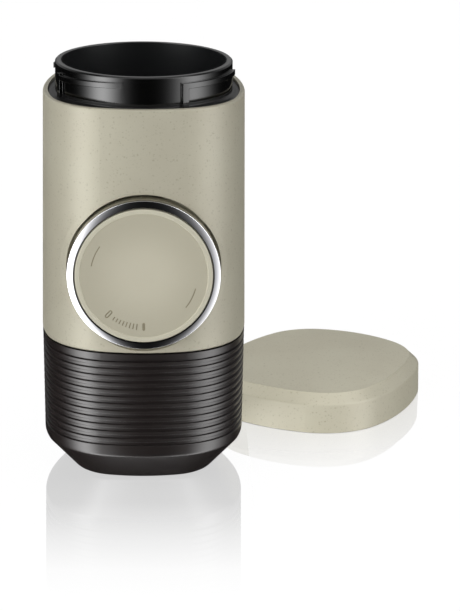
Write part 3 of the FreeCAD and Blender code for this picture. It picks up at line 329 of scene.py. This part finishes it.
# ------------------------------------------------------------------ mesh helpers
SHARP = math.radians(35)            # an edge over this angle stays sharp


def smooth(obj):
    for face in obj.data.polygons:
        face.use_smooth = True
    obj.data.set_sharp_from_angle(angle=SHARP)


def thing(name, verts, faces):
    """A new object in the scene."""
    mesh = bpy.data.meshes.new(name)
    mesh.from_pydata(verts, [], faces)
    obj = bpy.data.objects.new(name, mesh)
    bpy.context.scene.collection.objects.link(obj)
    return obj


def piece(name, verts, faces, body, look, node):
    """A piece that rides with a body and is shown in place of a node."""
    obj = thing(name, verts, faces)
    obj.data.validate()
    obj.data.update()
    wear(obj, look)
    smooth(obj)
    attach(obj, body)
    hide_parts(node)
    return obj


def rounded(corners, steps):
    """Corners (a, b, radius) of a profile, each turned into an arc."""
    points = []
    for k, (x, z, r) in enumerate(corners):
        here = Vector((x, z))
        if r <= 0 or k in (0, len(corners) - 1):
            points.append((x, z))
            continue
        to_last = (Vector(corners[k - 1][:2]) - here).normalized()
        to_next = (Vector(corners[k + 1][:2]) - here).normalized()
        half = to_last.angle(to_next) / 2
        reach = r / math.tan(half)
        middle = here + (to_last + to_next).normalized() * (r / math.sin(half))
        start = here + to_last * reach - middle
        end = here + to_next * reach - middle
        sweep = start.angle_signed(end)
        for i in range(steps + 1):
            a = -sweep * i / steps
            c, q = math.cos(a), math.sin(a)
            points.append((middle.x + start.x * c - start.y * q, middle.y + start.x * q + start.y * c))
    return points


def skin(rings, ends="capped"):
    """Vertices and faces through rings of equal length; the ends are capped, joined or open."""
    n, count = len(rings[0]), len(rings)
    verts = [p for ring in rings for p in ring]
    faces = []
    for k in range(count if ends == "joined" else count - 1):
        a, b = k * n, (k + 1) % count * n
        for i in range(n):
            j = (i + 1) % n
            faces.append((a + i, a + j, b + j, b + i))
    if ends == "capped":
        faces.append(tuple(reversed(range(n))))
        faces.append(tuple((count - 1) * n + i for i in range(n)))
    return verts, faces


def full_turn(n):
    return [2 * math.pi * i / n for i in range(n)]


def turned(profile, n):
    """Rings about the knob's axis from (radius, y) points in millimetres."""
    return [[(r * MM * math.sin(a), y * MM, KNOB_AXIS + r * MM * math.cos(a)) for a in full_turn(n)]
            for r, y in profile]


# ------------------------------------------------------------------ the body's outline
BODY_HALF = 32.0
# front and back half: depth from the widest line, side radius, end radius, corner radius
FRONT = (32.0, 56.0, 56.0, 23.2)
BACK = (40.0, 80.0, 48.0, 21.0)
SIDE_STEPS, CORNER_STEPS, END_STEPS = 20, 44, 40


def half_arcs(depth, side, end, corner):
    """Five tangent arcs over one half: centre, radius, first and last angle, steps."""
    side_x, end_y = BODY_HALF - side, depth - end
    span = math.hypot(side_x, end_y)
    along = ((side - corner) ** 2 - (end - corner) ** 2 + span ** 2) / (2 * span)
    off = math.sqrt((side - corner) ** 2 - along ** 2)
    x = side_x + (off * -end_y - along * side_x) / span
    y = (along * end_y - off * side_x) / span
    first, last = math.atan2(y, x - side_x), math.atan2(y - end_y, x)
    return [
        (side_x, 0, side, 0, first, SIDE_STEPS),
        (x, y, corner, first, last, CORNER_STEPS),
        (0, end_y, end, last, math.pi - last, END_STEPS),
        (-x, y, corner, math.pi - last, math.pi - first, CORNER_STEPS),
        (-side_x, 0, side, math.pi - first, math.pi, SIDE_STEPS),
    ]


def outline(inset, z):
    """The body's outline, moved in by `inset`; millimetres in, metres out."""
    points = []
    for sign, arcs in ((1, half_arcs(*BACK)), (-1, half_arcs(*FRONT))):
        for cx, cy, radius, first, last, steps in arcs:
            for i in range(steps):
                a = first + (last - first) * i / steps
                x = cx + (radius - inset) * math.cos(a)
                y = cy + (radius - inset) * math.sin(a)
                points.append((sign * x * MM, sign * y * MM, z * MM))
    return points


def circle_like(ring, radius, z):
    """A circle with a point at the angle of each point of a ring."""
    angles = [math.atan2(y, x) for x, y, _ in ring]
    return [(radius * MM * math.cos(a), radius * MM * math.sin(a), z * MM) for a in angles]


# ------------------------------------------------------------------ ribbed tank, in millimetres
# an inset is measured in from the body's outline
FOOT_INSET, FOOT_Z, FOOT_ROUND = 10.0, 0.3, 3.0
FOOT_LEDGE = 5.5                    # flat part of the foot, inside its edge
BEVEL_INSET, BEVEL_TOP, BEVEL_ROUND = 0.5, 10.6, 1.6
JOINT_INSET, JOINT_Z = 0.1, 44.0    # where the side would meet the shell
WALL_TOP = 42.4
TANK_WALL, TANK_FLOOR = 1.4, 2.4
BEVEL_RISE = 0.6                    # how much higher the bevel ends on the inside
PAD_RADIUS, PAD_TOP = 14.0, 1.5     # the foot pad's seat
GROOVES, GROOVE_FIRST, GROOVE_PITCH = 13, 14.65, 2.275
# across a groove: height from its middle, depth, rounding
GROOVE = ((-0.64, 0, 0.25), (-0.44, 0.72, 0.12), (0.44, 0.72, 0.12), (0.64, 0, 0.25))


def side_inset(z):
    """The side leans out a little from the bevel to the joint."""
    return BEVEL_INSET + (JOINT_INSET - BEVEL_INSET) * (z - BEVEL_TOP) / (JOINT_Z - BEVEL_TOP)


def make_tank():
    """The outer wall as one closed skin: the pad's seat, the foot, the grooved side, and down inside."""
    corners = [
        (FOOT_INSET + FOOT_LEDGE, FOOT_Z, 0),
        (FOOT_INSET, FOOT_Z, FOOT_ROUND),
        (BEVEL_INSET, BEVEL_TOP, BEVEL_ROUND),
    ]
    for k in range(GROOVES):
        middle = GROOVE_FIRST + GROOVE_PITCH * k
        for rise, deep, radius in GROOVE:
            corners.append((side_inset(middle + rise) + deep, middle + rise, radius))
    corners.append((side_inset(WALL_TOP), WALL_TOP, 0))
    outside = [outline(inset, z) for inset, z in rounded(corners, 4)]
    pad_seat = [circle_like(outside[0], PAD_RADIUS, z) for z in (PAD_TOP, FOOT_Z)]
    slope = (BEVEL_TOP - FOOT_Z) / (BEVEL_INSET - FOOT_INSET)
    floor_inset = FOOT_INSET + (TANK_FLOOR - TANK_WALL * math.hypot(1, slope)) / slope
    inside = [
        outline(side_inset(WALL_TOP) + TANK_WALL, WALL_TOP),
        outline(BEVEL_INSET + TANK_WALL, BEVEL_TOP + BEVEL_RISE),
        outline(floor_inset, FOOT_Z + TANK_FLOOR),
    ]
    verts, faces = skin(pad_seat + outside + inside)
    piece("tank_ribs", verts, faces, "tank", "tank_plastic", "tank_shell")


make_tank()

# ------------------------------------------------------------------ knob, in millimetres
RING_SEAT, RING_OUTER = 22.9, 23.36
RING_BACK, RING_EDGE, RING_LIP = -32.9, -34.12, -34.84


def make_ring():
    profile = rounded([
        (RING_SEAT, RING_BACK, 0),
        (RING_OUTER, RING_BACK, 0.08),
        (RING_OUTER, RING_EDGE, 0.22),
        (RING_INNER, RING_LIP, 0.1),
        (RING_INNER, DISC_BACK, 0),
        (RING_SEAT, DISC_BACK, 0),
    ], 7)
    verts, faces = skin(turned(profile[::-1], 256), "joined")
    piece("knob_chrome", verts, faces, "knob", "chrome", "knob_ring")


MARKS_RADIUS = 16.1                 # from the knob's axis; the angles are degrees from its top
LOCKED_AT, FREE_AT = 180.0, 138.5
TICKS, TICK_FIRST, TICK_PITCH = 8, 7.5, 3.8
TICK_HALF_WIDTH, TICK_HALF_HEIGHT, TICK_GROWTH = 0.16, 0.62, 0.05
TICK_SHIFT = 0.15
HOLLOW_OUTER, HOLLOW_INNER = (0.62, 1.45), (0.27, 1.1)
HOLLOW_SIDE, HOLLOW_SIDE_HALF = 0.445, (0.18, 0.84)
ARC_STARTS, ARC_SWEEP, ARC_STEPS = (55.0, 232.0), 24.0, 12
ARC_OUTER, ARC_INNER = 16.33, 16.03


def pill(half_width, half_height, n=8):
    """An upright bar with round ends, about the origin."""
    points = []
    for centre, start in ((half_height - half_width, 0.0), (half_width - half_height, math.pi)):
        for i in range(n + 1):
            a = start + math.pi * i / n
            points.append((half_width * math.cos(a), centre + half_width * math.sin(a)))
    return points


def bar(middle, half_width, half_height):
    left, right = middle - half_width, middle + half_width
    return [(left, -half_height), (right, -half_height), (right, half_height), (left, half_height)]


def placed(points, angle, radius=MARKS_RADIUS):
    """A shape carried out from the knob's axis and turned round it."""
    c, q = math.cos(math.radians(angle)), math.sin(math.radians(angle))
    return [(x * c - (y + radius) * q, x * q + (y + radius) * c) for x, y in points]


def hollow_pill():
    """The ring-shaped mark in four parts that overlap: two ends and two sides."""
    outer, inner = pill(*HOLLOW_OUTER), pill(*HOLLOW_INNER)
    split = len(outer) // 2
    ends = [outer[half] + inner[half][::-1] for half in (slice(0, split), slice(split, None))]
    return ends + [bar(side, *HOLLOW_SIDE_HALF) for side in (-HOLLOW_SIDE, HOLLOW_SIDE)]


def arc(start):
    turns = [math.radians(start + ARC_SWEEP * i / ARC_STEPS) for i in range(ARC_STEPS + 1)]
    outer = [(-ARC_OUTER * math.sin(a), ARC_OUTER * math.cos(a)) for a in turns]
    inner = [(-ARC_INNER * math.sin(a), ARC_INNER * math.cos(a)) for a in turns]
    return outer + inner[::-1]


def mark_outlines():
    """The shapes to cut into the face, about the knob's axis."""
    shapes = [placed(pill(0.42, 1.25), LOCKED_AT)]
    shapes += [placed(part, FREE_AT) for part in hollow_pill()]
    for k in range(TICKS):
        tick = bar(0, TICK_HALF_WIDTH, TICK_HALF_HEIGHT + TICK_GROWTH * k)
        angle = LOCKED_AT - TICK_FIRST - TICK_PITCH * (TICKS - 1 - k)
        shapes.append(placed(tick, angle, MARKS_RADIUS + TICK_SHIFT))
    return shapes + [arc(start) for start in ARC_STARTS]


def make_cutter(front, back):
    """One prism for each mark, in one object."""
    verts, faces = [], []
    for shape in mark_outlines():
        n, base = len(shape), len(verts)
        for y in (front, back):
            verts += [(u * MM, y * MM, KNOB_AXIS + v * MM) for u, v in shape]
        faces += [tuple(base + i for i in range(n)), tuple(base + n + i for i in reversed(range(n)))]
        faces += [(base + i, base + n + i, base + n + (i + 1) % n, base + (i + 1) % n) for i in range(n)]
    return thing("marks", verts, faces)


def make_face():
    dish = DISC_FRONT + DISH_DEPTH
    profile = rounded([
        (0.4, dish, 0),
        (DISH_RADIUS + 0.02, dish, 0.2),
        (DISH_RADIUS + 0.18, DISC_FRONT, 0.12),
        (DISC_RADIUS, DISC_FRONT, 0.25),
        (DISC_RADIUS, DISC_BACK, 0.1),
        (0.4, DISC_BACK, 0),
    ], 5)
    verts, faces = skin(turned(profile, 288))
    face = piece("knob_face", verts, faces, "knob", "knob_face", "knob_disc")
    cutter = make_cutter(dish - 0.5, dish + MARK_DEPTH)
    cut = face.modifiers.new("marks", "BOOLEAN")
    cut.operation, cut.solver, cut.object = "DIFFERENCE", "EXACT", cutter
    cut.use_self = True             # the hollow mark's parts overlap
    bpy.context.view_layer.update()
    shaped = bpy.data.meshes.new_from_object(face.evaluated_get(bpy.context.evaluated_depsgraph_get()))
    face.modifiers.clear()
    face.data = shaped
    bpy.data.objects.remove(cutter)
    smooth(face)


make_ring()
make_face()


# ------------------------------------------------------------------ floor
FLOOR_SIZE = 12
FLOOR_GLOW = 1.07                   # white table as the camera sees it
SHADOW_SHARE = 0.12                 # how much of the light and shadow shows on it
MIRROR_SHARE = 0.36                 # strength of the mirror image at the foot
# the mirror image fades towards the camera, and round the lid
BODY_FADE_FROM, BODY_FADE_OVER = -0.021, 0.1
BODY_FADE = [(0.0, 1.0), (0.22, 0.93), (0.5, 0.45), (0.75, 0.1), (1.0, 0.0)]
LID_AT = (0.0571, 0.0532)
LID_FADE_FROM, LID_FADE_OVER = 0.032, 0.06
LID_FADE = [(0.0, 1.0), (1.0, 0.0)]
LID_SIDE = 0.034                    # right of this the mirror image is the lid's


def make_floor():
    """A white glossy table, whose mirror image of the object fades away from its foot."""
    bpy.ops.mesh.primitive_plane_add(size=FLOOR_SIZE, location=(0, 0, 0))
    floor = bpy.context.object
    floor.name = "floor"
    floor.visible_glossy = False
    made = bpy.data.materials.new("floor")
    s = Shader(made)
    x, y, _ = s.place_xyz()
    ahead = s.math("DIVIDE", s.math("SUBTRACT", BODY_FADE_FROM, y), BODY_FADE_OVER)
    by_body = s.curve(ahead, BODY_FADE, "LINEAR")
    from_lid = s.length(s.math("SUBTRACT", x, LID_AT[0]), s.math("SUBTRACT", y, LID_AT[1]))
    by_lid = s.curve(s.share(from_lid, LID_FADE_FROM, LID_FADE_OVER), LID_FADE, "LINEAR")
    fade = s.mix(s.math("GREATER_THAN", x, LID_SIDE), by_body, by_lid)
    glow = s.add("Emission", Color=WHITE, Strength=FLOOR_GLOW)
    lit = s.add("BsdfDiffuse", Color=grey(0.85))
    mirror = s.add("BsdfAnisotropic", Color=WHITE, Roughness=0.0)
    table = s.blend(SHADOW_SHARE, glow, lit)
    table = s.blend(s.math("MULTIPLY", fade, MIRROR_SHARE), table, mirror)
    bounce = s.add("BsdfDiffuse", Color=grey(0.8))
    seen = s.add("LightPath").outputs["Is Camera Ray"]
    s.output("OutputMaterial", s.blend(seen, bounce, table))
    floor.data.materials.append(made)


# ------------------------------------------------------------------ world and room
WORLD_SIDE, WORLD_TOP = 0.55, 0.58  # fill from the sides and from above


def make_world():
    """White where it is seen or mirrored, and an even fill for the rest."""
    world = bpy.data.worlds.new("world")
    bpy.context.scene.world = world
    s = Shader(world)
    path = s.add("LightPath").outputs
    shown = s.math("MAXIMUM", path["Is Camera Ray"], path["Is Glossy Ray"])
    shown = s.math("MAXIMUM", shown, path["Is Transmission Ray"])
    up = s.add("SeparateXYZ", Vector=s.add("TexCoord").outputs["Generated"]).outputs[2]
    fill = s.math("MULTIPLY_ADD", s.math("ABSOLUTE", up), WORLD_TOP - WORLD_SIDE, WORLD_SIDE)
    s.output("OutputWorld", s.add("Background", Color=WHITE, Strength=s.mix(shown, fill, WHITE)))


ROOM_HOLE, ROOM_RADIUS = 0.02, 0.9
ROOM_BOTTOM, ROOM_TOP = -0.75, 1.6
ROOM_DARK = 0.01
BACK_WALL = 0.4                     # brightness behind the object, above the table
BACK_EDGE = [(0.55, 0.0), (0.72, 1.0)]      # of the half turn from the front to the back
# from below to above the table; a place on the ramp is the height times the scale, plus the base
RISE_SCALE, RISE_BASE = 0.4, 0.5
RISE = [(0.52, 0.0), (0.64, 1.0)]
# azimuth from -Y and spread in degrees, brightness below and above the table
STRIPS = [(-54.0, 13.5, 9.2, 6.0), (65.0, 15.5, 5.6, 6.6)]


def room_level(s):
    """Brightness over the room's wall: dark, with a back wall and two strip lights."""
    x, y, z = s.place_xyz()
    azimuth = s.math("ARCTAN2", x, s.math("MULTIPLY", y, -1.0))
    behind = s.curve(s.math("DIVIDE", s.math("ABSOLUTE", azimuth), math.pi), BACK_EDGE)
    risen = s.curve(s.math("MULTIPLY_ADD", z, RISE_SCALE, RISE_BASE), RISE)
    level = s.math("MULTIPLY_ADD", s.math("MULTIPLY", behind, risen), BACK_WALL, ROOM_DARK)
    for centre, spread, low, high in STRIPS:
        off = s.share(azimuth, math.radians(centre), math.radians(spread))
        bell = s.math("EXPONENT", s.math("MULTIPLY", s.math("MULTIPLY", off, off), -0.5))
        bright = s.math("MULTIPLY_ADD", risen, high - low, low)
        level = s.math("ADD", level, s.math("MULTIPLY", bell, bright))
    return level


def make_room():
    """A round room seen only in the object's reflections, and left out of the table's mirror."""
    wall = ((ROOM_HOLE, ROOM_BOTTOM), (ROOM_RADIUS, ROOM_BOTTOM), (ROOM_RADIUS, ROOM_TOP))
    rings = [[(r * math.cos(a), r * math.sin(a), z) for a in full_turn(96)] for r, z in wall]
    room = thing("room", *skin(rings, "open"))
    room.visible_camera = room.visible_diffuse = room.visible_shadow = False
    room.visible_transmission = False
    made = bpy.data.materials.new("room")
    s = Shader(made)
    mirrored = s.add("LightPath").outputs["Is Singular Ray"]
    strength = s.mix(mirrored, room_level(s), WHITE)
    s.output("OutputMaterial", s.add("Emission", Color=strength, Strength=1.0))
    room.data.materials.append(made)


# ------------------------------------------------------------------ lamps
BODY_AIM = (0, 0, 0.06)
BODY_LAMP, LID_LAMP = (0.8, 1.0), (0.6, 0.6)
LID_AIM = (0.057, 0.053, 0)


def lamp(name, at, aim, size, power, only=None):
    """An area lamp; with `only`, it lights that object alone and nothing else shades it."""
    data = bpy.data.lights.new(name, "AREA")
    data.shape, data.size, data.size_y, data.energy = "RECTANGLE", size[0], size[1], power
    obj = bpy.data.objects.new(name, data)
    obj.location = at
    obj.rotation_mode = "QUATERNION"
    obj.rotation_quaternion = (Vector(aim) - Vector(at)).to_track_quat("-Z", "Y")
    obj.visible_glossy = obj.visible_camera = False
    bpy.context.scene.collection.objects.link(obj)
    if only:
        group = bpy.data.collections.new(name + "_only")
        group.objects.link(only)
        obj.light_linking.receiver_collection = group
        obj.light_linking.blocker_collection = group


make_floor()
make_world()
make_room()
lamp("key", (-0.95, -1.05, 0.5), BODY_AIM, BODY_LAMP, 7.5)
lamp("fill", (0.7, -1.3, 0.4), (0.05, 0, 0.06), BODY_LAMP, 2.2)
lamp("lid_key", (-1.0, -0.55, 0.45), LID_AIM, LID_LAMP, 12.0, NODES["lid_shell"])
lamp("lid_fill", (0.9, -1.0, 0.7), LID_AIM, LID_LAMP, 6.0, NODES["lid_shell"])

bpy.context.scene.view_settings.view_transform = "Standard"
